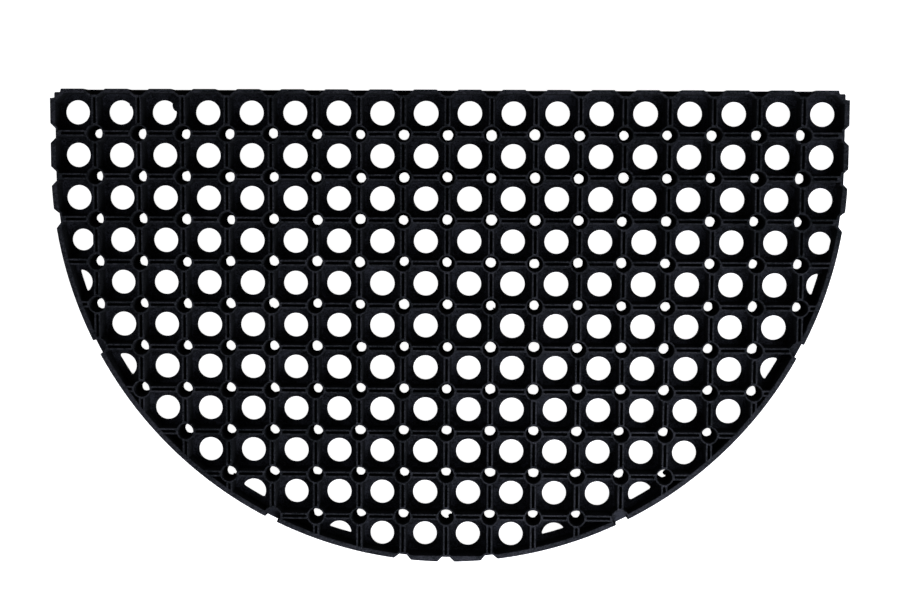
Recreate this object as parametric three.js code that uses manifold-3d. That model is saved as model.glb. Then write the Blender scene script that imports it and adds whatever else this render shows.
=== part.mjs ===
// Half-round ring mat, moulded in one piece from black rubber. Eleven rows of square cells with cut
// corners each taper down to a round drain hole, and a short tube stands wherever four cells meet.
// Its straight edge faces +Y and its curved edge -Y. It lies on z = 0, and the origin is under the
// middle of its bounding box. Units are millimetres, +Z is up.
import * as THREE from "three";
import { mergeVertices } from "three/addons/utils/BufferGeometryUtils.js";
import Module from "manifold-3d";

const wasm = await Module();
wasm.setup();

// The mat's outer size
const WIDTH = 750;
const DEPTH = 450;
const THICKNESS = 22;
const ARC_RADIUS = WIDTH / 2;
const ARC_CENTRE_Y = ARC_RADIUS - DEPTH / 2;
const ARC_STEPS = 50;
const CORNER_CUT = 8.4;

// The grid of cells
const COLUMNS = 18;
const ROWS = 11;
const COLUMN_PITCH = 41.6;
const ROW_PITCH = 40.5;
const FIRST_ROW_Y = DEPTH / 2 - 21.5;

// One cell: the web is two thin walls with the groove between them
const WEB = 6;
const CELL_CUT = 7.2;
const CELL_SIDES = 8;
const HOLE_RADIUS = 12;

// The small tubes. Those nearest the edge stay closed at the floor, so that the mat is cut through
// at no more than this many places
const TUBE_SIDES = 6;
const TUBE_TOP_RADIUS = 7.1;
const TUBE_FOOT_RADIUS = 5.5;
const TUBE_EDGE_CLEARANCE = 12;
const MOST_THROUGH_GAPS = 300;

// The edge of the mat
const RIM = 4;
const RIM_AT_FLOOR = 8.4;
const SMALLEST_POCKET = 60;
const BASE = 4;

// A notch lies where a crossing is this near the edge. It is cut through the walls and leaves the
// base whole
const NOTCH_REACH = 5.2;
const NOTCH_DEPTH = 5.6;
const NOTCH_HALF_MOUTH = 9.8;
const NOTCH_HALF_FLOOR = 3.6;

// The first and last cell of this row have a smaller hole, moved towards the middle
const TIGHT_ROW = 3;
const TIGHT_HOLE_RADIUS = 10.4;
const TIGHT_HOLE_SHIFT = 3.2;

// How far a cutting shape reaches past the face that it opens
const OVERRUN = 1;

// A closed mesh as a solid that can be joined and cut
function toSolid(geometry) {
  geometry.deleteAttribute("normal");
  geometry.deleteAttribute("uv");
  const merged = mergeVertices(geometry, 1e-4);
  const mesh = new wasm.Mesh({
    numProp: 3,
    vertProperties: merged.getAttribute("position").array,
    triVerts: new Uint32Array(merged.index.array),
  });
  return new wasm.Manifold(mesh);
}

// A solid as a geometry to be shown
function toGeometry(solid) {
  const mesh = solid.getMesh();
  const geometry = new THREE.BufferGeometry();
  geometry.setAttribute("position", new THREE.BufferAttribute(mesh.vertProperties, 3));
  geometry.setIndex(new THREE.BufferAttribute(mesh.triVerts, 1));
  return geometry;
}

function joinAll(solids) {
  return solids.reduce((all, solid) => all.add(solid));
}

// An upright block with the given outline
function prism(outline, fromZ, toZ) {
  const geometry = new THREE.ExtrudeGeometry(new THREE.Shape(outline), {
    depth: toZ - fromZ,
    bevelEnabled: false,
  });
  geometry.translate(0, 0, fromZ);
  return toSolid(geometry);
}

// A cutting shape with one outline at the floor and another at the mat's top, whose sloping
// sides run on a little past both
function taperedCutter(atFloor, atTop) {
  const past = OVERRUN / THICKNESS;
  const low = atFloor.map((point, i) => point.clone().lerp(atTop[i], -past));
  const high = atFloor.map((point, i) => point.clone().lerp(atTop[i], 1 + past));
  const geometry = new THREE.ExtrudeGeometry(new THREE.Shape(high), {
    depth: THICKNESS + 2 * OVERRUN,
    bevelEnabled: false,
  });
  geometry.translate(0, 0, -OVERRUN);
  const position = geometry.getAttribute("position");
  const corner = new THREE.Vector2();
  for (let i = 0; i < position.count; i += 1) {
    corner.set(position.getX(i), position.getY(i));
    if (position.getZ(i) < 0) {
      const drawnIn = low[high.findIndex((point) => point.distanceTo(corner) < 1e-3)];
      position.setXY(i, drawnIn.x, drawnIn.y);
    }
  }
  return toSolid(geometry);
}

// The corners of a regular polygon with a circle's area
function roundOutline(centre, radius, sides) {
  const step = (2 * Math.PI) / sides;
  const reach = radius * Math.sqrt((2 * Math.PI) / (sides * Math.sin(step)));
  return Array.from({ length: sides }, (_, i) => {
    const angle = (i + 0.5) * step;
    return new THREE.Vector2(
      centre.x + reach * Math.cos(angle),
      centre.y + reach * Math.sin(angle),
    );
  });
}

// A rectangle with cut corners, anticlockwise from its right side
function cellOutline(left, right, near, far) {
  const cut = CELL_CUT;
  return [
    new THREE.Vector2(right, far - cut),
    new THREE.Vector2(right - cut, far),
    new THREE.Vector2(left + cut, far),
    new THREE.Vector2(left, far - cut),
    new THREE.Vector2(left, near + cut),
    new THREE.Vector2(left + cut, near),
    new THREE.Vector2(right - cut, near),
    new THREE.Vector2(right, near + cut),
  ];
}

// The mat's outline: a straight edge with cut corners, two short sides and half a circle
function matOutline() {
  const half = WIDTH / 2;
  const back = DEPTH / 2;
  const arc = Array.from({ length: ARC_STEPS + 1 }, (_, i) => {
    const angle = Math.PI * (1 + i / ARC_STEPS);
    return new THREE.Vector2(
      ARC_RADIUS * Math.cos(angle),
      ARC_CENTRE_Y + ARC_RADIUS * Math.sin(angle),
    );
  });
  return [
    ...arc,
    new THREE.Vector2(half, back - CORNER_CUT),
    new THREE.Vector2(half - CORNER_CUT, back),
    new THREE.Vector2(-half + CORNER_CUT, back),
    new THREE.Vector2(-half, back - CORNER_CUT),
  ];
}

function columnX(column) {
  return (column - (COLUMNS - 1) / 2) * COLUMN_PITCH;
}

function rowY(row) {
  return FIRST_ROW_Y - row * ROW_PITCH;
}

// How far inside the curved edge a point lies
function insideArc(point) {
  return ARC_RADIUS - Math.hypot(point.x, point.y - ARC_CENTRE_Y);
}

// The space inside the curved rim, which slopes in towards the floor
function arcPlug() {
  const ring = (inset) =>
    Array.from({ length: 2 * ARC_STEPS }, (_, i) => {
      const angle = (Math.PI * i) / ARC_STEPS;
      const radius = ARC_RADIUS - inset;
      return new THREE.Vector2(
        radius * Math.cos(angle),
        ARC_CENTRE_Y + radius * Math.sin(angle),
      );
    });
  return taperedCutter(ring(RIM_AT_FLOOR), ring(RIM));
}

// What one cell takes out of the mat, or null where the curved rim leaves no room for it
function cellCutter(column, row, plug) {
  const centre = new THREE.Vector2(columnX(column), rowY(row));
  const side = (COLUMN_PITCH - WEB) / 2;
  const end = (ROW_PITCH - WEB) / 2;
  const edge = WIDTH / 2 - RIM;
  const left = Math.max(centre.x - side, -edge);
  const right = Math.min(centre.x + side, edge);
  const top = cellOutline(left, right, centre.y - end, centre.y + end);
  const tight = row === TIGHT_ROW && (column === 0 || column === COLUMNS - 1);
  const holeCentre = centre.clone();
  holeCentre.x -= tight ? Math.sign(centre.x) * TIGHT_HOLE_SHIFT : 0;
  const holeRadius = tight ? TIGHT_HOLE_RADIUS : HOLE_RADIUS;
  const cutter = taperedCutter(roundOutline(holeCentre, holeRadius, CELL_SIDES), top);
  if (centre.y > ARC_CENTRE_Y || top.every((point) => insideArc(point) > RIM)) return cutter;
  const clipped = cutter.intersect(plug);
  const opening = clipped.isEmpty() ? 0 : clipped.volume() / THICKNESS;
  return opening > SMALLEST_POCKET ? clipped : null;
}

// The points where four cells meet, from the mat's straight edge to its curved one
function crossings() {
  const points = [];
  for (let row = -1; row < ROWS; row += 1) {
    for (let column = -1; column < COLUMNS; column += 1) {
      points.push(new THREE.Vector2(columnX(column + 0.5), rowY(row + 0.5)));
    }
  }
  return points;
}

// How far inside the mat's nearest edge a point lies
function insideEdge(point) {
  const fromSide = WIDTH / 2 - Math.abs(point.x);
  const fromBack = DEPTH / 2 - point.y;
  const straight = Math.min(fromSide, fromBack);
  return point.y > ARC_CENTRE_Y ? straight : Math.min(straight, insideArc(point));
}

// The bore of a tube: open to the floor, or closed by the base
function tubeCutter(point, isOpen) {
  const foot = roundOutline(point, TUBE_FOOT_RADIUS, TUBE_SIDES);
  const mouth = roundOutline(point, TUBE_TOP_RADIUS, TUBE_SIDES);
  const bore = taperedCutter(foot, mouth);
  return isOpen ? bore : bore.trimByPlane([0, 0, 1], BASE);
}

// The notch in the walls where a crossing lies on the mat's edge
function notchCutter(point) {
  const outward = new THREE.Vector2(0, 1);
  const mouth = new THREE.Vector2(point.x, DEPTH / 2);
  if (point.y <= ARC_CENTRE_Y) {
    outward.set(point.x, point.y - ARC_CENTRE_Y).normalize();
    mouth.set(0, ARC_CENTRE_Y).addScaledVector(outward, ARC_RADIUS);
  } else if (point.y < rowY(0)) {
    outward.set(Math.sign(point.x), 0);
    mouth.set((Math.sign(point.x) * WIDTH) / 2, point.y);
  }
  const along = new THREE.Vector2(-outward.y, outward.x);
  const place = (out, side) =>
    mouth.clone().addScaledVector(outward, out).addScaledVector(along, side);
  const outline = [
    place(OVERRUN, -NOTCH_HALF_MOUTH - OVERRUN),
    place(OVERRUN, NOTCH_HALF_MOUTH + OVERRUN),
    place(-NOTCH_DEPTH, NOTCH_HALF_FLOOR),
    place(-NOTCH_DEPTH, -NOTCH_HALF_FLOOR),
  ];
  return prism(outline, BASE, THICKNESS + OVERRUN);
}

// The crossings at the mat's two back corners, which are cut off instead of notched
function isCorner(point) {
  return Math.abs(point.x) > WIDTH / 2 - NOTCH_REACH && point.y > rowY(0);
}

function makeMat() {
  const plug = arcPlug();
  const cells = [];
  for (let row = 0; row < ROWS; row += 1) {
    for (let column = 0; column < COLUMNS; column += 1) {
      const cutter = cellCutter(column, row, plug);
      if (cutter) cells.push(cutter);
    }
  }
  const openCells = cells.filter((cell) => cell.boundingBox().min[2] < 0).length;
  const tubes = crossings().filter((point) => insideEdge(point) > TUBE_EDGE_CLEARANCE);
  tubes.sort((a, b) => insideEdge(b) - insideEdge(a));
  const openTubes = MOST_THROUGH_GAPS - openCells;
  const bores = tubes.map((point, i) => tubeCutter(point, i < openTubes));
  const notches = crossings()
    .filter((point) => Math.abs(insideEdge(point)) < NOTCH_REACH && !isCorner(point))
    .map(notchCutter);
  const slab = prism(matOutline(), 0, THICKNESS);
  return slab.subtract(joinAll([...cells, ...bores, ...notches]));
}

const blackRubber = new THREE.MeshStandardMaterial({
  color: 0x1b1c20,
  roughness: 0.62,
  metalness: 0,
});

const mat = new THREE.Mesh(toGeometry(makeMat()), blackRubber);
mat.name = "mat";

const doormat = new THREE.Group();
doormat.add(mat);

export default doormat;
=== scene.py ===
"""Dresses the half-round rubber mat and sets up the studio that shows it.

The mat is one moulding. Here it is shaped as a mould maker would cut it. Out of a half-round plate
come the cells, their drain holes, the bores of the small tubes, the small holes under them, the
grooves between the walls, the notches in the edge and the bites in the two back corners. Each of
these forms is a class that holds its sizes and builds the shape that cuts it.
"""
import logging
import math
import random
from abc import ABC, abstractmethod
from dataclasses import dataclass, field, replace
from enum import Enum
from typing import Callable, Iterable

import bmesh
import bpy
from mathutils import Matrix, Vector


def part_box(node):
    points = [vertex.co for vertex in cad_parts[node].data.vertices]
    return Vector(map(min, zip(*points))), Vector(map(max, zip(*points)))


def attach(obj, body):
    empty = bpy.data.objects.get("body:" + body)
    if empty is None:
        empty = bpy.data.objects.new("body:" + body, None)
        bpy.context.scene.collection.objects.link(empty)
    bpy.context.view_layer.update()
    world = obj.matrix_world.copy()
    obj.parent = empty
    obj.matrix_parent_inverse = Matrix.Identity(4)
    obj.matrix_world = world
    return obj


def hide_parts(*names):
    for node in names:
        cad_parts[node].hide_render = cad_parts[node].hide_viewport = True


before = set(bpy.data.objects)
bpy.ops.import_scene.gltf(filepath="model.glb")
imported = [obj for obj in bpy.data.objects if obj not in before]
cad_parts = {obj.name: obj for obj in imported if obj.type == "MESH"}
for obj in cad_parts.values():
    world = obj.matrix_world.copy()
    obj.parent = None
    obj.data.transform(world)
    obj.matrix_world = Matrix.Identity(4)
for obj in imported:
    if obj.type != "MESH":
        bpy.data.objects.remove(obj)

logging.basicConfig(level=logging.INFO, format="%(message)s")
log = logging.getLogger("mat")

MM = 0.001
# How far a cutting shape runs on past what it cuts.
OVERRUN = 1.0 * MM
# Lengths that differ by less than this are the same.
TOLERANCE = 0.01 * MM
# What the random draws start from, so that every run gives the same mat.
SEED = 7
# A place in the grid, as its column and row.
Site = tuple[float, float]
Colour = tuple[float, ...]


class Element(Enum):
    """What an edit session picks."""

    EDGE = "EDGE"
    FACE = "FACE"


class Axis(Enum):
    """An axis, by its place in a vector."""

    Y = 1
    Z = 2


class Cut(Enum):
    """How one solid acts on another."""

    DIFFERENCE = "DIFFERENCE"
    INTERSECT = "INTERSECT"


def near(a: float, b: float) -> bool:
    """Says whether two lengths are the same."""
    return abs(a - b) < TOLERANCE


def lies_at(item: bmesh.types.BMEdge | bmesh.types.BMFace, axis: Axis, value: float) -> bool:
    """Says whether all the points of an edge or face lie at one place along an axis."""
    return all(near(vertex.co[axis.value], value) for vertex in item.verts)


def is_upright(edge: bmesh.types.BMEdge) -> bool:
    """Says whether an edge runs straight up."""
    low, high = (vertex.co for vertex in edge.verts)
    return near(low.x, high.x) and near(low.y, high.y)


def make_active(part: bpy.types.Object) -> None:
    """Selects one object alone and makes it the active one.

    Args:
        part: The object.
    """
    bpy.ops.object.select_all(action="DESELECT")
    part.select_set(True)
    bpy.context.view_layer.objects.active = part


class Shaping:
    """Edit mode on one object, as a context manager.

    Args:
        part: The object to shape.
    """

    def __init__(self, part: bpy.types.Object) -> None:
        """Keeps the object for the session."""
        self.part = part

    def __enter__(self) -> "Shaping":
        """Enters edit mode.

        Returns:
            This session.
        """
        make_active(self.part)
        bpy.ops.object.mode_set(mode="EDIT")
        return self

    def __exit__(self, *problem: object) -> None:
        """Goes back to object mode."""
        bpy.ops.object.mode_set(mode="OBJECT")

    def pick(self, element: Element, test: Callable[[object], bool]) -> None:
        """Selects the edges or faces that pass a test, and nothing else.

        Args:
            element: Whether edges or faces are picked.
            test: Says whether one edge or face is picked.
        """
        bpy.ops.mesh.select_mode(type=element.value)
        bpy.ops.mesh.select_all(action="DESELECT")
        mesh = bmesh.from_edit_mesh(self.part.data)
        items = mesh.edges if element is Element.EDGE else mesh.faces
        for item in items:
            if test(item):
                item.select_set(True)
        bmesh.update_edit_mesh(self.part.data)

    def pick_level(self, height: float) -> None:
        """Selects the flat faces at a height."""
        self.pick(Element.FACE, lambda face: lies_at(face, Axis.Z, height))

    def raise_face(self, by: float, scale: tuple[float, float], centre: Vector) -> None:
        """Extrudes the picked faces upwards and scales the new ones.

        Args:
            by: How far they go up.
            scale: Their scale along X and Y.
            centre: The point that they are scaled about.
        """
        bpy.ops.mesh.extrude_region_move(TRANSFORM_OT_translate={"value": (0, 0, by)})
        self.scale(scale, centre)

    def scale(self, scale: tuple[float, float], centre: Vector) -> None:
        """Scales what is picked along X and Y about a point."""
        bpy.ops.transform.resize(value=(*scale, 1), center_override=centre)


def combine(part: bpy.types.Object, tool: bpy.types.Object, cut: Cut) -> None:
    """Cuts a solid with another one, which is then removed.

    Args:
        part: The solid that is kept.
        tool: The solid that acts on it.
        cut: How it acts.
    """
    modifier = part.modifiers.new(cut.value.lower(), "BOOLEAN")
    modifier.operation = cut.value
    modifier.solver = "MANIFOLD"
    modifier.object = tool
    make_active(part)
    bpy.ops.object.modifier_apply(modifier=modifier.name)
    bpy.data.objects.remove(tool)


def copy_at(template: bpy.types.Object, place: Matrix) -> bpy.types.Object:
    """Copies an object with its mesh, and moves the copy's points.

    Args:
        template: The object to copy, with its mesh round the origin.
        place: Where the copy goes.

    Returns:
        The copy, whose own place stays at the origin.
    """
    copy = template.copy()
    copy.data = template.data.copy()
    copy.data.transform(place)
    bpy.context.collection.objects.link(copy)
    return copy


def scatter(template: bpy.types.Object, places: Iterable[Matrix]) -> list[bpy.types.Object]:
    """Copies an object to some places, and removes the object itself.

    Args:
        template: The object to copy, with its mesh round the origin.
        places: Where the copies go.

    Returns:
        The copies.
    """
    copies = [copy_at(template, place) for place in places]
    bpy.data.objects.remove(template)
    return copies


def join(parts: Iterable[bpy.types.Object], name: str) -> bpy.types.Object:
    """Joins objects into one.

    Args:
        parts: The objects, at least one.
        name: The joined object's name.

    Returns:
        The joined object.
    """
    parts = list(parts)
    make_active(parts[0])
    for part in parts:
        part.select_set(True)
    if len(parts) > 1:
        bpy.ops.object.join()
    parts[0].name = name
    return parts[0]


def block(name: str, size: Vector, low: float) -> bpy.types.Object:
    """Adds a block that stands over the origin.

    Args:
        name: The block's name.
        size: Its size along X, Y and Z.
        low: The height of its lower face.

    Returns:
        The block.
    """
    bpy.ops.object.select_all(action="DESELECT")
    bpy.ops.mesh.primitive_cube_add(size=1, location=(0, 0, low + size.z / 2), scale=size)
    bpy.ops.object.transform_apply()
    part = bpy.context.active_object
    part.name = name
    return part


def drum(name: str, radius: float, low: float, high: float, sides: int,
         foot: float | None = None) -> bpy.types.Object:
    """Adds a round block, straight or tapered, that stands over the origin.

    Args:
        name: The block's name.
        radius: Its radius at the top.
        low: The height of its lower face.
        high: The height of its upper face.
        sides: How many sides stand for the circle.
        foot: Its radius at the bottom, if it is another one.

    Returns:
        The block.
    """
    bpy.ops.object.select_all(action="DESELECT")
    bpy.ops.mesh.primitive_cone_add(
        vertices=sides, radius1=radius if foot is None else foot, radius2=radius,
        depth=high - low, location=(0, 0, (low + high) / 2))
    bpy.ops.object.transform_apply()
    part = bpy.context.active_object
    part.name = name
    return part


def roughen(part: bpy.types.Object, by: float, seed: int) -> None:
    """Moves a shape's points a little at random, as flash leaves a moulded hole.

    Args:
        part: The shape.
        by: The most that a point moves.
        seed: What its random moves start from.
    """
    with Shaping(part):
        bpy.ops.mesh.select_all(action="SELECT")
        bpy.ops.transform.vertex_random(offset=by, uniform=1.0, normal=0.0, seed=seed)


@dataclass(frozen=True)
class HalfRound:
    """A half-round outline: a straight edge, two short sides and half a circle.

    Args:
        radius: The circle's radius, which is half the width.
        centre_y: Where the circle's centre lies.
        back_y: Where the straight edge lies.
        corner: How much the corners of the straight edge are cut off.
        steps: How many sides would stand for the whole circle.
    """

    radius: float
    centre_y: float
    back_y: float
    corner: float = 8.4 * MM
    steps: int = 240

    def inset(self, by: float) -> "HalfRound":
        """Gives the outline that runs inside this one at a distance."""
        return replace(self, radius=self.radius - by, back_y=self.back_y - by)

    def on_curve(self, point: Vector) -> bool:
        """Says whether a point lies at the curved part of the outline."""
        return point.y < self.centre_y

    def depth_inside(self, point: Vector) -> float:
        """Says how far inside its nearest edge a point lies.

        Args:
            point: The point.

        Returns:
            The distance, less than 0 outside.
        """
        if self.on_curve(point):
            return self.radius - (point.xy - Vector((0, self.centre_y))).length
        return min(self.radius - abs(point.x), self.back_y - point.y)

    def nearest(self, point: Vector) -> tuple[Vector, Vector]:
        """Finds the outline's point next to another, and the way out from it.

        Args:
            point: A point near the outline.

        Returns:
            The outline's point, and the direction across the outline there.
        """
        if self.on_curve(point):
            outward = (point.xy - Vector((0, self.centre_y))).normalized()
            return Vector((0, self.centre_y)) + outward * self.radius, outward
        if self.back_y - point.y < self.radius - abs(point.x):
            return Vector((point.x, self.back_y)), Vector((0, 1))
        side = math.copysign(1, point.x)
        return Vector((side * self.radius, point.y)), Vector((side, 0))

    def plate(self, name: str, low: float, high: float) -> bpy.types.Object:
        """Builds an upright plate with this outline.

        Args:
            name: The plate's name.
            low: The height of its lower face.
            high: The height of its upper face.

        Returns:
            The plate.
        """
        bpy.ops.object.select_all(action="DESELECT")
        centre = Vector((0, self.centre_y, low))
        bpy.ops.mesh.primitive_circle_add(
            vertices=self.steps, radius=self.radius, fill_type="NGON", location=centre)
        bpy.ops.object.transform_apply()
        part = bpy.context.active_object
        part.name = name
        straight = self.back_y - self.centre_y
        with Shaping(part) as shaping:
            bpy.ops.mesh.select_all(action="SELECT")
            bpy.ops.mesh.bisect(plane_co=centre, plane_no=(0, 1, 0), clear_outer=True)
            shaping.pick(Element.EDGE, lambda edge: lies_at(edge, Axis.Y, self.centre_y))
            bpy.ops.mesh.extrude_edges_move(TRANSFORM_OT_translate={"value": (0, straight, 0)})
            bpy.ops.mesh.select_all(action="SELECT")
            bpy.ops.mesh.extrude_region_move(TRANSFORM_OT_translate={"value": (0, 0, high - low)})
            shaping.pick(Element.EDGE, lambda edge: (
                lies_at(edge, Axis.Y, self.back_y) and is_upright(edge)))
            bpy.ops.mesh.bevel(offset=self.corner, segments=1)
            bpy.ops.mesh.select_all(action="SELECT")
            bpy.ops.mesh.normals_make_consistent(inside=False)
        return part


@dataclass(frozen=True)
class Grid:
    """The grid of cells, and the crossings where four cells meet.

    Args:
        back_y: Where the straight edge lies.
        columns: How many cells lie across the mat.
        rows: How many rows of cells there are.
        column_pitch: The distance from one column to the next.
        row_pitch: The distance from one row to the next.
        first_row: How far the first row's middle lies from the straight edge.
    """

    back_y: float
    columns: int = 18
    rows: int = 11
    column_pitch: float = 41.6 * MM
    row_pitch: float = 40.5 * MM
    first_row: float = 21.5 * MM

    def place(self, column: float, row: float) -> Vector:
        """Gives the point of a site: whole numbers are cells, halves lie between them."""
        return Vector((
            (column - (self.columns - 1) / 2) * self.column_pitch,
            self.back_y - self.first_row - row * self.row_pitch,
            0))

    def move(self, site: Site) -> Matrix:
        """Gives the move from the origin to a site."""
        return Matrix.Translation(self.place(*site))

    def cells(self) -> list[tuple[int, int]]:
        """Lists the cells' columns and rows, also of those outside the mat."""
        return [(column, row) for row in range(self.rows) for column in range(self.columns)]

    def crossings(self) -> list[Site]:
        """Lists the crossings, those on the outer edge and outside the mat too."""
        return [(column + 0.5, row + 0.5)
                for row in range(-1, self.rows) for column in range(-1, self.columns)]


class Edge(Enum):
    """Which edge of the mat a notch lies in."""

    BACK = "back"
    SIDE = "side"
    FRONT = "front"


@dataclass(frozen=True)
class Notch:
    """The V-shaped gap in the walls where a web meets the mat's edge.

    Args:
        half_mouth: Half the width at the mat's edge.
        depth: How far in it reaches.
        half_floor: Half the width at its inner end.
        wall: The thickness of the wall round it.
        groove_end: How far from the edge the web's groove ends.
    """

    half_mouth: float
    depth: float
    half_floor: float
    wall: float
    groove_end: float

    def grown(self) -> "Notch":
        """Gives the outer form of the wall round the notch, whose sides lean by 45 degrees."""
        return replace(self, half_mouth=self.half_mouth + math.sqrt(2) * self.wall,
                       depth=self.depth + self.wall,
                       half_floor=self.half_floor + (math.sqrt(2) - 1) * self.wall)

    def wedge(self, name: str, low: float, high: float) -> bpy.types.Object:
        """Builds the notch as a solid, with its mouth at the origin and facing +Y.

        Args:
            name: The solid's name.
            low: The height of its lower face.
            high: The height of its upper face.

        Returns:
            The solid, which runs on a little past its mouth.
        """
        slope = (self.half_mouth - self.half_floor) / self.depth
        outer = self.half_mouth + slope * OVERRUN
        part = block(name, Vector((2 * outer, self.depth + OVERRUN, high - low)), low)
        part.data.transform(Matrix.Translation((0, (OVERRUN - self.depth) / 2, 0)))
        with Shaping(part) as shaping:
            shaping.pick(Element.FACE, lambda face: lies_at(face, Axis.Y, -self.depth))
            shaping.scale((self.half_floor / outer, 1), Vector((0, -self.depth, 0)))
        return part


NOTCHES = {
    Edge.BACK: Notch(10.5 * MM, 5.8 * MM, 3.3 * MM, 1.9 * MM, 8.0 * MM),
    Edge.SIDE: Notch(9.7 * MM, 5.3 * MM, 4.4 * MM, 1.9 * MM, 10.3 * MM),
    Edge.FRONT: Notch(8.6 * MM, 5.0 * MM, 3.6 * MM, 1.8 * MM, 7.0 * MM),
}


@dataclass(frozen=True)
class MatPlan:
    """What the mat's forms have in common: its outline, its grid, its walls and its rim.

    Args:
        outline: The mat's outline on the floor.
        grid: Its grid of cells.
        thickness: Its height.
        base: The thickness of the web at the bottom.
        web: The width of a double wall between two cells.
        rim: The rim's width at its top, along the curve and the sides.
        back_rim: Its width along the straight edge.
        rim_foot: Its width at its foot, above the fillet.
        rim_fillet: The rounding between the rim and the base.
        edge_break: How deep the rounding at the top of a wall is.
        mouth_flare: How far a wall draws back there, as a share of that depth.
        tube_sides: How many sides stand for a tube's circle.
        tube_reach: How far from a crossing with a tube the grooves end.
        notch_reach: How near the outline a crossing lies at most to be one at the edge.
        dice: The random draws, which the forms share.
    """

    outline: HalfRound
    grid: Grid
    thickness: float
    base: float = 2.6 * MM
    web: float = 6.1 * MM
    rim: float = 5.1 * MM
    back_rim: float = 4.1 * MM
    rim_foot: float = 5.6 * MM
    rim_fillet: float = 1.2 * MM
    edge_break: float = 0.45 * MM
    mouth_flare: float = 0.7
    tube_sides: int = 24
    tube_reach: float = 9.5 * MM
    notch_reach: float = 5.2 * MM
    dice: random.Random = field(default_factory=lambda: random.Random(SEED))

    @property
    def inner(self) -> HalfRound:
        """The outline of the space inside the rim, at the top."""
        return replace(self.outline.inset(self.rim), back_y=self.outline.back_y - self.back_rim)

    @property
    def mouth(self) -> float:
        """The height where the tops of the walls start to round off."""
        return self.thickness - self.edge_break

    @property
    def clear(self) -> float:
        """A height above the top of every cutting shape."""
        return self.thickness + 4 * OVERRUN

    def flare(self, shaping: Shaping, half: Vector, share: float) -> None:
        """Carries a cutting shape's top through the mat's top, wider or narrower.

        Args:
            shaping: The edit session on the shape, which ends at the mouth's height.
            half: Half the shape's size along X and Y there.
            share: How far each side has moved out at the mat's top, as a share of the rounding's
                depth. The slope then runs on as far again above it.
        """
        by = self.edge_break * share
        grown = (1 + 2 * by / half.x, 1 + 2 * by / half.y)
        centre = Vector((0, 0, self.mouth))
        shaping.pick_level(self.mouth)
        shaping.raise_face(2 * self.edge_break, grown, centre)
        shaping.raise_face(OVERRUN, (1, 1), centre)

    def room(self) -> bpy.types.Object:
        """Builds the space inside the rim, which the cells and grooves stay within.

        Returns:
            The space as a solid, with a rounded foot and a top that follows the rim's rounding.
        """
        inner = self.inner
        foot = self.outline.radius - self.rim_foot
        part = inner.plate("room", self.base + self.rim_fillet, self.mouth)
        centre = Vector((0, inner.centre_y, 0))
        growth = 1 + 2 * self.edge_break / inner.radius
        shrink = foot / inner.radius
        fillet = 1 - self.rim_fillet / foot
        with Shaping(part) as shaping:
            shaping.pick_level(self.mouth)
            shaping.raise_face(2 * self.edge_break, (growth, growth), centre)
            shaping.raise_face(2 * OVERRUN, (1, 1), centre)
            shaping.pick_level(self.base + self.rim_fillet)
            shaping.scale((shrink, shrink), centre)
            shaping.raise_face(-self.rim_fillet, (fillet, fillet), centre)
            shaping.raise_face(-OVERRUN, (1, 1), centre)
        return part

    def has_tube(self, site: Site) -> bool:
        """Says whether a whole tube stands at a crossing."""
        return self.outline.depth_inside(self.grid.place(*site)) > self.tube_reach + self.rim / 2

    def at_edge(self, site: Site) -> bool:
        """Says whether a crossing lies on the mat's edge."""
        return abs(self.outline.depth_inside(self.grid.place(*site))) < self.notch_reach

    def edge_kind(self, site: Site) -> Edge | None:
        """Says which kind of notch a crossing at the edge has.

        Args:
            site: The crossing.

        Returns:
            The kind, or None where the edge cuts a tube.
        """
        _, row = site
        if row < 0:
            return Edge.BACK
        side = self.outline.radius - self.grid.column_pitch / 2
        if abs(self.grid.place(*site).x) > side:
            return Edge.SIDE
        return Edge.FRONT if row > self.grid.rows - 1 else None

    def is_corner(self, site: Site) -> bool:
        """Says whether a crossing is one of the mat's two back corners."""
        corner = self.outline.radius - self.notch_reach
        return abs(self.grid.place(*site).x) > corner and self.edge_kind(site) is Edge.BACK

    def tube_sites(self) -> list[Site]:
        """Lists the crossings where a whole tube stands."""
        return [site for site in self.grid.crossings() if self.has_tube(site)]

    def edge_sites(self) -> list[Site]:
        """Lists the crossings at the mat's edge, but for its two back corners."""
        return [site for site in self.grid.crossings()
                if self.at_edge(site) and not self.is_corner(site)]

    def cut_tube_sites(self) -> list[Site]:
        """Lists the crossings where the edge cuts a tube."""
        return [site for site in self.edge_sites() if self.edge_kind(site) is None]

    def edge_place(self, site: Site) -> tuple[Vector, Matrix]:
        """Finds the outline's point next to a crossing, and the turn from +Y to the way out there.

        Args:
            site: The crossing.

        Returns:
            The point and the turn.
        """
        point, outward = self.outline.nearest(self.grid.place(*site))
        angle = math.atan2(outward.y, outward.x) - math.pi / 2
        return point, Matrix.Rotation(angle, 4, "Z")


@dataclass
class Form(ABC):
    """A form that is cut out of the mat.

    Args:
        plan: What the mat's forms have in common.
    """

    plan: MatPlan

    @abstractmethod
    def build(self) -> bpy.types.Object:
        """Builds the shape that cuts the form."""


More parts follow.
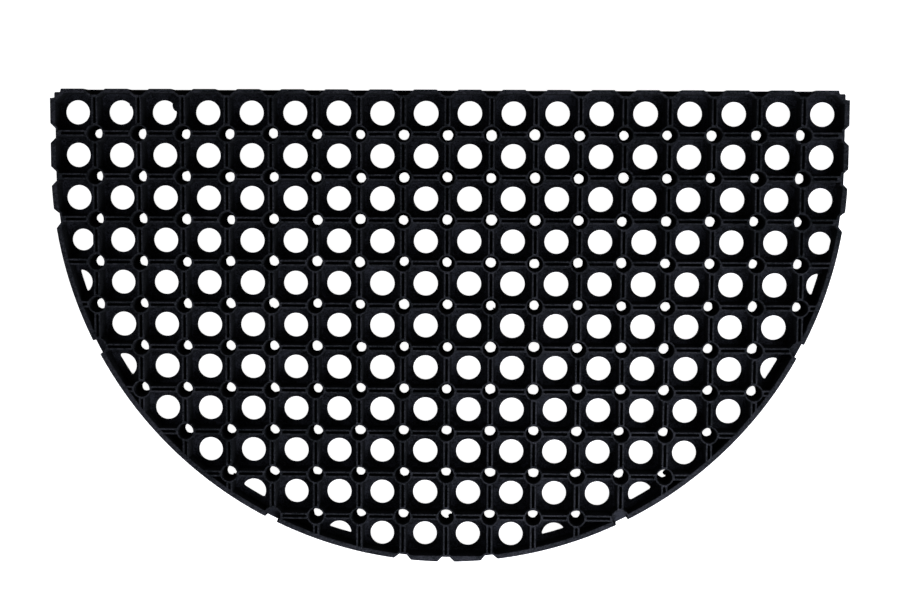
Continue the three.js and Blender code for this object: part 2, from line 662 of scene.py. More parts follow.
@dataclass
class Notches(Form):
    """The notches in the walls along the mat's edge, which leave the base whole."""

    def at_edges(self, wedges: dict[Edge, bpy.types.Object]) -> list[bpy.types.Object]:
        """Copies wedges to the crossings at the edge, and removes the wedges themselves.

        Args:
            wedges: The wedge for each edge.

        Returns:
            The copies, turned to face out of the mat.
        """
        copies = []
        for site in self.plan.edge_sites():
            kind = self.plan.edge_kind(site)
            if kind is not None:
                point, turn = self.plan.edge_place(site)
                copies.append(copy_at(wedges[kind], Matrix.Translation((*point, 0)) @ turn))
        for wedge in wedges.values():
            bpy.data.objects.remove(wedge)
        return copies

    def walls(self) -> list[bpy.types.Object]:
        """Builds the walls round the notches, filled, which the cells keep clear of."""
        return self.at_edges({
            kind: notch.grown().wedge(kind.value, OVERRUN, self.plan.clear)
            for kind, notch in NOTCHES.items()})

    def build(self) -> bpy.types.Object:
        """Builds the notches.

        Returns:
            The shape that cuts them.
        """
        return join(self.at_edges({
            kind: notch.wedge(kind.value, self.plan.base, self.plan.thickness + OVERRUN)
            for kind, notch in NOTCHES.items()}), "notches")


@dataclass
class Tubes(Form):
    """The small tubes at the crossings, with their bores down to the base.

    Args:
        radius: A tube's outer radius at its top.
        draft: How much wider it is at its foot.
        bore_radius: The radius of its bore at the top.
        bore_draft: How much narrower the bore is at the base.
        cut_floor: How high the bore's floor lies in the middle of a tube that the edge cuts.
    """

    radius: float = 8.9 * MM
    draft: float = 0.4 * MM
    bore_radius: float = 7.35 * MM
    bore_draft: float = 0.6 * MM
    cut_floor: float = 12.0 * MM

    def posts(self) -> list[bpy.types.Object]:
        """Builds the tubes' outer forms, whole and cut ones, which the cells keep clear of.

        Returns:
            The outer forms.
        """
        plan = self.plan
        part = drum("post", self.radius, OVERRUN, plan.mouth, plan.tube_sides,
                    self.radius + self.draft)
        with Shaping(part) as shaping:
            plan.flare(shaping, Vector((self.radius, self.radius)), -plan.mouth_flare)
        sites = [*plan.tube_sites(), *plan.cut_tube_sites()]
        return scatter(part, [plan.grid.move(site) for site in sites])

    def bore(self) -> bpy.types.Object:
        """Builds the form of one bore.

        Returns:
            The bore, over the origin.
        """
        plan = self.plan
        part = drum("bore", self.bore_radius, plan.base, plan.mouth, plan.tube_sides,
                    self.bore_radius - self.bore_draft)
        with Shaping(part) as shaping:
            plan.flare(shaping, Vector((self.bore_radius, self.bore_radius)), plan.mouth_flare)
        return part

    def sloping_bore(self) -> bpy.types.Object:
        """Builds the form of a bore whose floor falls by 45 degrees towards +Y.

        Returns:
            The bore, over the origin.
        """
        part = self.bore()
        with Shaping(part):
            bpy.ops.mesh.select_all(action="SELECT")
            bpy.ops.mesh.bisect(plane_co=(0, 0, self.cut_floor), plane_no=(0, 1, 1),
                                use_fill=True, clear_inner=True)
        return part

    def build(self) -> bpy.types.Object:
        """Builds the bores of the whole tubes, and of those that the edge cuts.

        Returns:
            The shape that cuts them.
        """
        move = self.plan.grid.move
        whole = scatter(self.bore(), [move(site) for site in self.plan.tube_sites()])
        cut = scatter(self.sloping_bore(), [
            move(site) @ self.plan.edge_place(site)[1] for site in self.plan.cut_tube_sites()])
        return join([*whole, *cut], "bores")


@dataclass
class Cells(Form):
    """The hollows of the cells, down to the base.

    Args:
        draft: How much narrower a cell is at the base, on each side.
        fillet: The rounding between its walls and the base.
    """

    draft: float = 0.5 * MM
    fillet: float = 2.6 * MM

    @property
    def half(self) -> Vector:
        """Half a cell's width and depth at its mouth."""
        grid, web = self.plan.grid, self.plan.web
        return Vector((grid.column_pitch - web, grid.row_pitch - web)) / 2

    def pocket(self) -> bpy.types.Object:
        """Builds one cell's hollow, with a rounded floor edge and a broken mouth.

        Returns:
            The hollow, over the origin.
        """
        plan, half = self.plan, self.half
        part = block("pocket", Vector((*(2 * half), plan.mouth - plan.base)), plan.base)
        with Shaping(part) as shaping:
            plan.flare(shaping, half, plan.mouth_flare)
            shaping.pick_level(plan.base)
            shaping.scale((1 - self.draft / half.x, 1 - self.draft / half.y),
                          Vector((0, 0, plan.base)))
            shaping.pick(Element.EDGE, lambda edge: lies_at(edge, Axis.Z, plan.base))
            bpy.ops.mesh.bevel(offset=self.fillet, segments=3)
        return part

    def place(self, column: int, row: int) -> Matrix:
        """Gives a cell's place, which reaches out to the rim in the first row.

        Args:
            column: The cell's column.
            row: Its row.

        Returns:
            Its place and stretch.
        """
        centre = self.plan.grid.place(column, row).xy
        low, high = centre - self.half, centre + self.half
        if row == 0:
            high.y = self.plan.inner.back_y + OVERRUN
        size = high - low
        stretch = (size.x / (2 * self.half.x), size.y / (2 * self.half.y), 1, 1)
        return Matrix.Translation((*(low + high) / 2, 0)) @ Matrix.Diagonal(stretch)

    def reaches_in(self, column: int, row: int) -> bool:
        """Says whether a cell lies at least partly inside the rim.

        Args:
            column: The cell's column.
            row: Its row.

        Returns:
            True if it does.
        """
        centre = self.plan.grid.place(column, row)
        corners = [centre + Vector((x * self.half.x, y * self.half.y, 0))
                   for x in (-1, 1) for y in (-1, 1)]
        return max(self.plan.inner.depth_inside(corner) for corner in corners) > 0

    def build(self) -> bpy.types.Object:
        """Builds the hollows of all the cells that the rim leaves room for.

        Returns:
            The shape that cuts them.
        """
        plan = self.plan
        sites = [site for site in plan.grid.cells() if self.reaches_in(*site)]
        cells = join(scatter(self.pocket(), [self.place(*site) for site in sites]), "cells")
        kept = join([*Notches(plan).walls(), *Tubes(plan).posts()], "posts")
        combine(cells, kept, Cut.DIFFERENCE)
        combine(cells, plan.room(), Cut.INTERSECT)
        return cells


@dataclass(frozen=True)
class Flash:
    """A thin tongue of rubber that the mould left inside a hole.

    Args:
        column: The hole's column.
        row: The hole's row.
        direction: Where it grows from the hole's edge, in degrees.
        reach: How far in it comes.
        radius: How round its end is.
        low: The height of its lower face.
        high: The height of its upper face.
        rough: The most that a point of its edge is off.
    """

    column: float
    row: float
    direction: float
    reach: float
    radius: float
    low: float = 0.3 * MM
    high: float = 1.56 * MM
    rough: float = 0.2 * MM

    def build(self, plan: MatPlan, hole_radius: float) -> bpy.types.Object:
        """Builds the tongue.

        Args:
            plan: What the mat's forms have in common.
            hole_radius: The radius of the hole.

        Returns:
            The tongue, in its place.
        """
        part = drum("tongue", self.radius, self.low, self.high, plan.tube_sides)
        turn = Matrix.Rotation(math.radians(self.direction), 4, "Z")
        out = Matrix.Translation((hole_radius - self.reach + self.radius, 0, 0))
        part.data.transform(plan.grid.move((self.column, self.row)) @ turn @ out)
        roughen(part, self.rough, SEED)
        return part


@dataclass
class Holes(Form):
    """Holes through the base, some of which keep a tongue of flash."""

    def leave(self, tongues: Iterable[Flash], holes: bpy.types.Object, radius: float) -> None:
        """Takes tongues of flash out of the shape that cuts the holes.

        Args:
            tongues: The tongues.
            holes: The shape that cuts the holes.
            radius: The holes' radius.
        """
        parts = [tongue.build(self.plan, radius) for tongue in tongues]
        combine(holes, join(parts, "tongues"), Cut.DIFFERENCE)


@dataclass(frozen=True)
class TightHole:
    """A whole drain hole squeezed in beside the rim.

    Args:
        shift: How far it lies towards +X from its place in the grid.
        radius: Its radius.
    """

    shift: float
    radius: float


# The tight holes, by column and row.
TIGHT_HOLES = {
    (0, 3): TightHole(3.2 * MM, 10.4 * MM),
    (17, 3): TightHole(0.4 * MM, 10.7 * MM),
}
DRAIN_TONGUES = (
    Flash(2, 0, 26, 2.6 * MM, 6.0 * MM),
    Flash(1, 0, 37, 1.1 * MM, 1.3 * MM),
)


@dataclass
class DrainHoles(Holes):
    """The cells' drain holes, whole ones and those that the rim cuts to a D.

    Args:
        radius: A hole's radius.
        lip: The rounding of its upper edge.
        sides: How many sides stand for its circle.
        sizes: The least and greatest size, as a share of the radius.
        margin: How far inside the outline a whole hole's edge lies at least.
        side_chord: How far inside the outline the holes beside the back rows are cut off.
        front_chord: How far inside it those beside the front rows are.
        first_front_row: The row where those begin.
        chord_corner: The rounding of a cut hole's two corners.
        sharp: The least turn that counts as such a corner, in degrees.
        least_width: How wide a cut hole is at least. Narrower ones aren't made.
    """

    radius: float = 11.6 * MM
    lip: float = 0.5 * MM
    sides: int = 32
    sizes: tuple[float, float] = (0.985, 1.015)
    margin: float = 3.5 * MM
    side_chord: float = 8.4 * MM
    front_chord: float = 11.3 * MM
    first_front_row: int = 6
    chord_corner: float = 2.0 * MM
    sharp: float = 25
    least_width: float = 5.0 * MM

    def hole(self) -> bpy.types.Object:
        """Builds one hole's form, with a rounded upper lip.

        Returns:
            The hole, over the origin.
        """
        start = self.plan.base - self.lip
        part = drum("hole", self.radius, -OVERRUN, start, self.sides)
        grown = 1 + 2 * self.lip / self.radius
        centre = Vector((0, 0, self.plan.base))
        with Shaping(part) as shaping:
            shaping.pick_level(start)
            shaping.raise_face(2 * self.lip, (grown, grown), centre)
            shaping.raise_face(OVERRUN, (1, 1), centre)
        return part

    def clip(self, hole: bpy.types.Object, chord: HalfRound) -> None:
        """Cuts a hole off where it would run under the rim, which leaves a D.

        Args:
            hole: The hole.
            chord: The outline that it stays inside.
        """
        limit = chord.plate("limit", -2 * OVERRUN, self.plan.thickness)
        combine(hole, limit, Cut.INTERSECT)

    def round_corners(self, holes: bpy.types.Object) -> None:
        """Rounds the two corners of each D.

        Args:
            holes: The cut holes.
        """
        with Shaping(holes) as shaping:
            shaping.pick(Element.EDGE, lambda edge: (
                not lies_at(edge, Axis.Z, edge.verts[0].co.z)
                and edge.calc_face_angle() > math.radians(self.sharp)))
            bpy.ops.mesh.bevel(offset=self.chord_corner, segments=3)

    def build(self) -> bpy.types.Object:
        """Builds the drain holes.

        Returns:
            The shape that cuts them.
        """
        plan, template = self.plan, self.hole()
        room = self.radius + self.margin
        whole, cut = [], []
        for column, row in plan.grid.cells():
            centre = plan.grid.place(column, row)
            inside = plan.outline.depth_inside(centre)
            turn = Matrix.Rotation(plan.dice.uniform(0, math.pi), 4, "Z")
            size = plan.dice.uniform(*self.sizes)
            tight = TIGHT_HOLES.get((column, row))
            if tight is not None:
                centre.x += tight.shift
                size = tight.radius / self.radius
                inside = room
            place = Matrix.Translation(centre) @ turn @ Matrix.Diagonal((size, size, 1, 1))
            chord = plan.outline.inset(
                self.front_chord if row >= self.first_front_row else self.side_chord)
            if inside >= room:
                whole.append(copy_at(template, place))
            elif chord.depth_inside(centre) + self.radius > self.least_width:
                cut.append(copy_at(template, place))
                self.clip(cut[-1], chord)
        bpy.data.objects.remove(template)
        log.info("holes: %d whole and %d cut", len(whole), len(cut))
        clipped = join(cut, "cut holes")
        self.round_corners(clipped)
        holes = join([*whole, clipped], "holes")
        self.leave(DRAIN_TONGUES, holes, self.radius)
        return holes


DRIP_TONGUES = (
    Flash(3.5, 8.5, -70, 1.0 * MM, 0.9 * MM),
    Flash(4.5, 4.5, -115, 1.2 * MM, 1.3 * MM),
    Flash(8.5, 9.5, -40, 1.9 * MM, 2.2 * MM),
    Flash(13.5, 8.5, 10, 4.0 * MM, 2.6 * MM),
    Flash(9.5, 4.5, -50, 1.1 * MM, 0.8 * MM),
)


@dataclass
class DripHoles(Holes):
    """The small ragged holes through the base under the tubes.

    Args:
        radius: A hole's radius.
        sides: How many sides stand for its circle.
        variants: How many different ragged holes there are.
        rough: The most that a point of a hole's edge is off.
        drift: How far a hole is usually off its crossing, along X and along Y.
        sizes: The least and greatest size, as a share of the radius.
        stretches: The least and greatest stretch of a hole in one direction.
    """

    radius: float = 4.75 * MM
    sides: int = 14
    variants: int = 6
    rough: float = 0.3 * MM
    drift: float = 0.35 * MM
    sizes: tuple[float, float] = (0.92, 1.08)
    stretches: tuple[float, float] = (0.94, 1.06)

    def variant(self, seed: int) -> bpy.types.Object:
        """Builds one ragged hole's form.

        Args:
            seed: What its random moves start from.

        Returns:
            The hole, over the origin.
        """
        part = drum("drip", self.radius, -OVERRUN, self.plan.base + OVERRUN, self.sides)
        roughen(part, self.rough, seed)
        return part

    def place(self, site: Site) -> Matrix:
        """Draws the place, the turn and the size of a hole.

        Args:
            site: Its crossing.

        Returns:
            Its place, turn and size.
        """
        dice = self.plan.dice
        drift = Matrix.Translation((dice.gauss(0, self.drift), dice.gauss(0, self.drift), 0))
        turn = Matrix.Rotation(dice.uniform(0, 2 * math.pi), 4, "Z")
        size = dice.uniform(*self.sizes)
        stretch = Matrix.Diagonal((size, size * dice.uniform(*self.stretches), 1, 1))
        return self.plan.grid.move(site) @ drift @ turn @ stretch

    def build(self) -> bpy.types.Object:
        """Builds the small holes.

        Returns:
            The shape that cuts them.
        """
        variants = [self.variant(seed) for seed in range(self.variants)]
        parts = []
        for site in self.plan.tube_sites():
            place = self.place(site)
            parts.append(copy_at(self.plan.dice.choice(variants), place))
        for variant in variants:
            bpy.data.objects.remove(variant)
        drips = join(parts, "drips")
        self.leave(DRIP_TONGUES, drips, self.radius)
        return drips


@dataclass
class Grooves(Form):
    """The grooves in the webs between the cells, which make each web a double wall.

    Args:
        width: A groove's width.
        floor: The height of its floor.
        flare: How much it widens at the top, as a share of the walls' rounding there.
        end_round: The rounding of its ends, as a share of its width.
    """

    width: float = 2.35 * MM
    floor: float = 8.0 * MM
    flare: float = 0.5
    end_round: float = 0.4

    def groove(self) -> bpy.types.Object:
        """Builds one groove's form along X, one pitch long and with rounded ends.

        Returns:
            The groove, over the origin.
        """
        plan = self.plan
        size = Vector((plan.grid.row_pitch, self.width, plan.mouth - self.floor))
        part = block("groove", size, self.floor)
        with Shaping(part) as shaping:
            shaping.pick(Element.EDGE, is_upright)
            bpy.ops.mesh.bevel(offset=self.width * self.end_round, segments=2)
            plan.flare(shaping, size / 2, self.flare)
        return part

    def gap(self, site: Site) -> float:
        """Says how far from a crossing a groove stops.

        Args:
            site: The crossing.

        Returns:
            The distance, less than 0 where the groove runs on to the rim.
        """
        if self.plan.has_tube(site):
            return self.plan.tube_reach
        if not self.plan.at_edge(site):
            return -OVERRUN
        kind = self.plan.edge_kind(site)
        if kind is None:
            return self.plan.tube_reach
        point = self.plan.grid.place(*site)
        edge, outward = self.plan.outline.nearest(point)
        return NOTCHES[kind].groove_end + (point.xy - edge).dot(outward)

    def place(self, start: Site, end: Site) -> Matrix:
        """Gives the place of the groove between two crossings.

        Args:
            start: One crossing.
            end: The next one, in a column or a row.

        Returns:
            Its place, turn and stretch.
        """
        a, b = self.plan.grid.place(*start), self.plan.grid.place(*end)
        along = (b - a).normalized()
        low = a + along * self.gap(start)
        high = b - along * self.gap(end)
        turn = Matrix.Rotation(math.atan2(along.y, along.x), 4, "Z")
        length = (high - low).length / self.plan.grid.row_pitch
        return Matrix.Translation((low + high) / 2) @ turn @ Matrix.Diagonal((length, 1, 1, 1))

    def runs(self, start: Site, end: Site) -> bool:
        """Says whether the web between two crossings lies inside the rim, at least partly.

        Args:
            start: One crossing.
            end: The other one.

        Returns:
            True if it does.
        """
        depths = [self.plan.outline.depth_inside(self.plan.grid.place(*site))
                  for site in (start, end)]
        return max(depths) >= self.plan.rim

    def build(self) -> bpy.types.Object:
        """Builds the grooves.

        Returns:
            The shape that cuts them.
        """
        places = []
        for column, row in self.plan.grid.crossings():
            for end in ((column + 1, row), (column, row + 1)):
                if self.runs((column, row), end):
                    places.append(self.place((column, row), end))
        grooves = join(scatter(self.groove(), places), "grooves")
        combine(grooves, self.plan.room(), Cut.INTERSECT)
        return grooves


@dataclass
class BackCorners(Form):
    """What the two back corners lack: a round bite with a lump of rubber left in it.

    Args:
        radius: The bite's radius.
        centre: Where its middle lies, seen from the left corner.
        lump: Where the lump's own corner lies, seen from there.
        sides: How many sides stand for the bite's circle.
    """

    radius: float = 9.5 * MM
    centre: tuple[float, float] = (1.2 * MM, 0.6 * MM)
    lump: tuple[float, float] = (4.6 * MM, -3.3 * MM)
    sides: int = 96

    def bite(self) -> bpy.types.Object:
        """Builds the left corner's bite, with the corner at the origin.

        Returns:
            The bite.
        """
        part = drum("bite", self.radius, -OVERRUN, self.plan.thickness + OVERRUN, self.sides)
        part.data.transform(Matrix.Translation((*self.centre, 0)))
        # The lump's block is large enough to reach out of the bite all round but at its corner.
        low, high = -2 * OVERRUN, self.plan.thickness + 2 * OVERRUN
        width = 3 * self.radius
        lump = block("lump", Vector((width, width, high - low)), low)
        x, y = self.lump
        lump.data.transform(Matrix.Translation((x + width / 2, y - width / 2, 0)))
        combine(part, lump, Cut.DIFFERENCE)
        return part

    def build(self) -> bpy.types.Object:
        """Builds the bites of both corners.

        Returns:
            The shape that cuts them.
        """
        outline = self.plan.outline
        left = Matrix.Translation((-outline.radius, outline.back_y, 0))
        parts = scatter(self.bite(), [left, Matrix.Diagonal((-1, 1, 1, 1)) @ left])
        # The mirrored copy's faces point inwards until they are turned round.
        parts[1].data.flip_normals()
        return join(parts, "corners")


@dataclass
class RubberMat:
    """The mat, cut out of one plate.

    Args:
        plan: What its forms have in common.
        draft: How much narrower the plate is at the top, on each side.
        edge_round: The rounding of its upper edge.
        crease: The least turn between two faces that stays a crease, in degrees.
    """

    plan: MatPlan
    draft: float = 0.3 * MM
    edge_round: float = 0.3 * MM
    crease: float = 35

    def plate(self) -> bpy.types.Object:
        """Builds the uncut plate, with its sloping side and rounded upper edge.

        Returns:
            The plate.
        """
        plan = self.plan
        part = plan.outline.plate("mat", 0, plan.thickness)
        shrink = 1 - self.draft / plan.outline.radius
        with Shaping(part) as shaping:
            shaping.pick_level(plan.thickness)
            shaping.scale((shrink, shrink), Vector((0, plan.outline.centre_y, 0)))
            shaping.pick(Element.EDGE, lambda edge: (
                lies_at(edge, Axis.Z, plan.thickness)
                and not all(lies_at(face, Axis.Z, plan.thickness) for face in edge.link_faces)))
            bpy.ops.mesh.bevel(offset=self.edge_round, segments=2)
        return part

    def build(self) -> bpy.types.Object:
        """Cuts the mat out of its plate, one form after another.

        Returns:
            The finished mat.
        """
        part = self.plate()
        for kind in (Cells, DrainHoles, Tubes, DripHoles, Grooves, Notches, BackCorners):
            combine(part, kind(self.plan).build(), Cut.DIFFERENCE)
            log.info("%s cut, %d faces", kind.__name__, len(part.data.polygons))
        make_active(part)
        bpy.ops.object.shade_smooth_by_angle(angle=math.radians(self.crease))
        return part


class Wire:
    """A number or vector in a material's node tree, on which Python's operators add Math nodes.

    Args:
        finish: The node tree's owner, which adds the nodes.
        socket: The output socket that holds the value.
    """

    def __init__(self, finish: "NodeFinish", socket: bpy.types.NodeSocket) -> None:
        """Keeps the value and its node tree's owner."""
        self.finish = finish
        self.socket = socket

    def math(self, operation: str, other: "Wire | float") -> "Wire":
        """Adds a Math node that works on this value and another one."""
        return self.finish.add("ShaderNodeMath", {"operation": operation}, {0: self, 1: other})

    def __add__(self, other: "Wire | float") -> "Wire":
        """Adds another value."""
        return self.math("ADD", other)

    def __mul__(self, other: "Wire | float") -> "Wire":
        """Multiplies by another value."""
        return self.math("MULTIPLY", other)

    __radd__ = __add__
    __rmul__ = __mul__

    def between(self, low: float, high: float) -> "Wire":
        """Maps a range of this value onto 0 to 1, and holds it there."""
        return self.finish.add("ShaderNodeMapRange", {}, {"Value": self, "From Min": low,
                                                          "From Max": high})


@dataclass(frozen=True)
class Mottle:
    """One size of unevenness in a surface.

    Args:
        scale: How many of its spots there are to a metre, roughly.
        detail: How many finer sizes lie on it.
        roughness: How strong those are.
        share: Its share in the wear of the surface.
    """

    scale: float
    detail: float
    roughness: float
    share: float


class NodeFinish:
    """A node-based material.

    Args:
        name: The material's name.
    """

    # A Mix node names its sockets for colours as it does those for numbers, so they go by number.
    MIX_FACTOR, MIX_LOW, MIX_HIGH, MIX_RESULT = 0, 6, 7, 2

    def __init__(self, name: str) -> None:
        """Makes the material, with the shader that its nodes feed."""
        self.material = bpy.data.materials.new(name)
        self.material.use_nodes = True
        self.tree = self.material.node_tree
        self.shader = self.tree.nodes["Principled BSDF"]

    def add(self, kind: str, settings: dict[str, object], inputs: dict[object, object],
            output: str | int = 0) -> Wire:
        """Adds a node.

        Args:
            kind: The node's type.
            settings: Its properties, which are set first.
            inputs: Values or wires for its sockets, by name or number.
            output: The socket to hand back.

        Returns:
            The node's output as a wire.
        """
        node = self.tree.nodes.new(kind)
        for name, value in settings.items():
            setattr(node, name, value)
        for name, value in inputs.items():
            self.feed(node.inputs[name], value)
        return Wire(self, node.outputs[output])

    def feed(self, socket: bpy.types.NodeSocket, value: object) -> None:
        """Gives a socket a wire or a plain value.

        Args:
            socket: The input socket.
            value: What it gets.
        """
        if isinstance(value, Wire):
            self.tree.links.new(value.socket, socket)
        else:
            socket.default_value = value

    def shade(self, inputs: dict[str, object]) -> None:
        """Gives sockets of the shader their wires or plain values."""
        for name, value in inputs.items():
            self.feed(self.shader.inputs[name], value)

    def blend(self, mask: Wire, low: Colour | Wire, high: Colour | Wire) -> Wire:
        """Mixes two colours by a mask."""
        return self.add("ShaderNodeMix", {"data_type": "RGBA"}, {
            self.MIX_FACTOR: mask, self.MIX_LOW: low, self.MIX_HIGH: high}, self.MIX_RESULT)

    def noise(self, place: Wire, mottle: Mottle) -> Wire:
        """Adds a noise value from 0 to 1."""
        return self.add("ShaderNodeTexNoise", {}, {
            "Vector": place, "Scale": mottle.scale, "Detail": mottle.detail,
            "Roughness": mottle.roughness}, "Fac")

    def coordinate(self, kind: str) -> Wire:
        """Adds the surface's place or normal, in the piece's own axes."""
        return self.add("ShaderNodeTexCoord", {}, {}, kind)

    def upward(self, vector: Wire) -> Wire:
        """Takes the part of a vector along Z."""
        return self.add("ShaderNodeSeparateXYZ", {}, {"Vector": vector}, "Z")


@dataclass(frozen=True)
class BlackRubber:
    """Moulded black rubber: nearly black, dull, and greyer on what faces up, as its upright faces
    get a painted shade.

    Args:
        thickness: The mat's height, where the tops of the walls are.
        deep: Its darkest colour, down in the cells.
        damp: Its lighter colour there.
        wall: A painted shade, the darker colour that the upright faces get.
        dull: The darker colour of the tops.
        worn: The lighter colour of the tops.
        dust: The colour of the dust that lies on it.
        patch: The broad unevenness.
        mottle: The next smaller one.
        blotch: The one after that, which also changes the gloss.
        grain: The finest one.
        wear_range: The part of their sum over which the colour turns from dark to light.
        painted_shade_facing: The normal's upward part over which the painted shade fades, upright
            to flat.
        top_range: How far below the top the colour of the tops begins, and where it is full.
        dust_grains: The part of the grain over which dust lies.
        dust_patches: The part of the mottle over which it does.
        dust_strength: How strong the dust's colour is.
        relief: The height of the bumps.
        relief_grain: How much of that the grain gets.
        gloss_low: The least roughness.
        gloss_swing: How much the blotches add to it.
        specular: How strongly it reflects.
    """

    thickness: float
    deep: Colour = (0.0015, 0.0022, 0.0030, 1)
    damp: Colour = (0.0420, 0.0450, 0.0590, 1)
    # Painted shade: the upright faces, in the cells and round the mat, get this darker colour.
    wall: Colour = (0.0050, 0.0058, 0.0075, 1)
    dull: Colour = (0.0020, 0.0042, 0.0058, 1)
    worn: Colour = (0.0375, 0.0384, 0.0475, 1)
    dust: Colour = (0.07, 0.075, 0.09, 1)
    patch: Mottle = Mottle(14, 2, 0.5, 0.2)
    mottle: Mottle = Mottle(60, 3, 0.5, 0.15)
    blotch: Mottle = Mottle(230, 4, 0.6, 0.25)
    grain: Mottle = Mottle(800, 3, 0.6, 0.4)
    wear_range: tuple[float, float] = (0.43, 0.57)
    painted_shade_facing: tuple[float, float] = (0.3, 0.8)
    top_range: tuple[float, float] = (1.2 * MM, 0.2 * MM)
    dust_grains: tuple[float, float] = (0.6, 0.75)
    dust_patches: tuple[float, float] = (0.4, 0.65)
    dust_strength: float = 0.3
    relief: float = 2.5 * MM
    relief_grain: float = 0.5
    gloss_low: float = 0.45
    gloss_swing: float = 0.6
    specular: float = 0.15

    def build(self) -> bpy.types.Material:
        """Builds the material.

        Returns:
            The material.
        """
        finish = NodeFinish("black rubber")
        place = finish.coordinate("Object")
        # How far each face looks up; the upright ones get the painted shade.
        level = finish.upward(finish.coordinate("Normal")).between(*self.painted_shade_facing)
        start, full = (self.thickness - below for below in self.top_range)
        upper = finish.upward(place).between(start, full)
        sizes = (self.patch, self.mottle, self.blotch, self.grain)
        patch, mottle, blotch, grain = (finish.noise(place, size) for size in sizes)
        wear = (patch * self.patch.share + mottle * self.mottle.share
                + blotch * self.blotch.share + grain * self.grain.share).between(*self.wear_range)
        low_body = finish.blend(wear, self.deep, self.damp)
        top_body = finish.blend(wear, self.dull, self.worn)
        specks = (grain.between(*self.dust_grains) * mottle.between(*self.dust_patches)
                  * self.dust_strength)
        body = finish.blend(specks, finish.blend(upper, low_body, top_body), self.dust)
        bump = finish.add("ShaderNodeBump", {}, {
            "Strength": 1.0, "Distance": self.relief,
            "Height": grain * self.relief_grain + blotch}, "Normal")
        finish.shade({
            # The upright faces get the painted shade in place of the body's colour.
            "Base Color": finish.blend(level, self.wall, body),
            "Roughness": blotch * self.gloss_swing + self.gloss_low,
            "Normal": bump,
            "Specular IOR Level": self.specular})
        return finish.material


@dataclass(frozen=True)
class Lamp:
    """A square soft lamp that points at the mat.

    Args:
        name: Its name.
        place: Where it hangs.
        size: Its width.
        power: Its power in watts.
    """

    name: str
    place: tuple[float, float, float]
    size: float
    power: float

    def build(self, colour: tuple[float, float, float]) -> None:
        """Adds the lamp.

        Args:
            colour: The colour of its light.
        """
        light = bpy.data.lights.new(self.name, "AREA")
        light.size = self.size
        light.energy = self.power
        light.color = colour
        lamp = bpy.data.objects.new(self.name, light)
        lamp.location = self.place
        lamp.rotation_euler = (-Vector(self.place)).to_track_quat("-Z", "Y").to_euler()
        bpy.context.collection.objects.link(lamp)


# Two lamps beyond the curved edge, and one at each side.
LAMPS = (
    Lamp("key", (0.55, -1.05, 0.9), 1.0, 7.7),
    Lamp("low key", (0.3, -0.75, 0.5), 0.6, 6.2),
    Lamp("right fill", (0.66, 0.0, 0.45), 0.45, 1.35),
    Lamp("left fill", (-0.72, 0.0, 0.55), 0.5, 1.15),
)


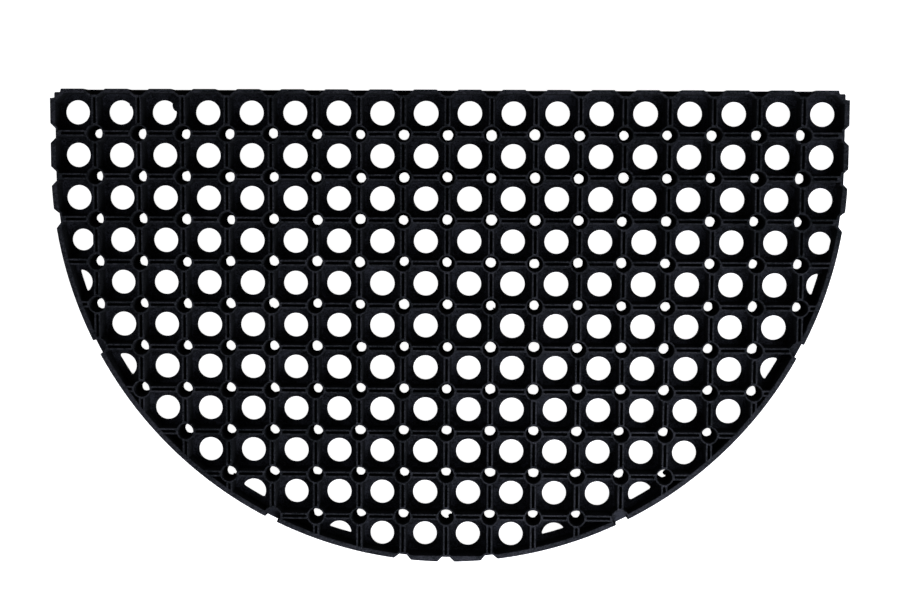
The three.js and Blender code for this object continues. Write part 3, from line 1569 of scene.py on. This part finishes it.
@dataclass(frozen=True)
class Studio:
    """The plain pale floor, the lights and the camera.

    Args:
        floor_size: The floor's width and depth.
        floor_colour: Its colour.
        floor_roughness: Its roughness.
        floor_glow: The light that it gives off, which keeps it white in the holes.
        light_colour: The lamps' colour, a little blue.
        all_round: The strength of the light that comes from everywhere.
        camera_place: Where the camera stands.
        tilt: How far the camera leans towards the straight edge, in degrees.
        pan: How far it leans to the side.
        roll: How far it is turned about its own axis.
        focal_pixels: Its focal length in pixels of the photograph.
        frame_width: The photograph's width in pixels.
        sensor_width: The width of the camera's sensor in millimetres.
    """

    floor_size: float = 40.0
    floor_colour: Colour = (0.9, 0.9, 0.9, 1)
    floor_roughness: float = 0.9
    floor_glow: float = 1.0
    light_colour: tuple[float, float, float] = (0.94, 0.97, 1.06)
    all_round: float = 0.041
    camera_place: tuple[float, float, float] = (37.2 * MM, 146.6 * MM, 1465.9 * MM)
    tilt: float = 4.72
    pan: float = 1.35
    roll: float = 0.34
    focal_pixels: float = 1532
    frame_width: int = 900
    sensor_width: float = 36

    def floor(self) -> None:
        """Adds the floor, which sends no light back onto the mat."""
        bpy.ops.object.select_all(action="DESELECT")
        bpy.ops.mesh.primitive_plane_add(size=self.floor_size)
        floor = bpy.context.active_object
        floor.name = "floor"
        finish = NodeFinish("pale floor")
        finish.shade({
            "Base Color": self.floor_colour,
            "Roughness": self.floor_roughness,
            "Emission Color": (1, 1, 1, 1),
            "Emission Strength": self.floor_glow})
        floor.data.materials.append(finish.material)
        floor.visible_diffuse = False
        floor.visible_glossy = False

    def lights(self) -> None:
        """Adds the lamps and a little light all round."""
        for lamp in LAMPS:
            lamp.build(self.light_colour)
        world = bpy.data.worlds.new("studio")
        world.use_nodes = True
        background = world.node_tree.nodes["Background"]
        background.inputs["Color"].default_value = (1, 1, 1, 1)
        background.inputs["Strength"].default_value = self.all_round
        bpy.context.scene.world = world

    def camera(self) -> None:
        """Adds the camera, which looks almost straight down."""
        camera = bpy.data.cameras.new("camera")
        camera.sensor_width = self.sensor_width
        camera.lens = self.focal_pixels * self.sensor_width / self.frame_width
        lean = (Matrix.Rotation(math.radians(self.roll), 3, "Z")
                @ Matrix.Rotation(math.radians(self.pan), 3, "Y")
                @ Matrix.Rotation(math.radians(self.tilt), 3, "X"))
        # The angles turn about axes whose Y runs down the picture and whose Z runs into it.
        flip = Matrix.Diagonal((1, -1, -1))
        turned = (flip @ lean @ flip).transposed()
        viewer = bpy.data.objects.new("camera", camera)
        viewer.matrix_world = Matrix.Translation(self.camera_place) @ turned.to_4x4()
        bpy.context.collection.objects.link(viewer)
        bpy.context.scene.camera = viewer

    def build(self) -> None:
        """Sets up the whole studio."""
        self.floor()
        self.lights()
        self.camera()
        bpy.context.scene.view_settings.view_transform = "Standard"


def main() -> None:
    """Builds the studio and the mat."""
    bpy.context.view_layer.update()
    low, high = (Vector(corner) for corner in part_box("mat"))
    radius = (high.x - low.x) / 2
    outline = HalfRound(radius, low.y + radius, high.y)
    Studio().build()
    mat = RubberMat(MatPlan(outline, Grid(high.y), high.z)).build()
    mat.name = "rubber_mat"
    mat.data.materials.clear()
    mat.data.materials.append(BlackRubber(thickness=high.z).build())
    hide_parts("mat")
    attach(mat, "root")
    mat.data.calc_loop_triangles()
    log.info("%s: %d triangles", mat.name, len(mat.data.loop_triangles))


if __name__ == "__main__":
    main()
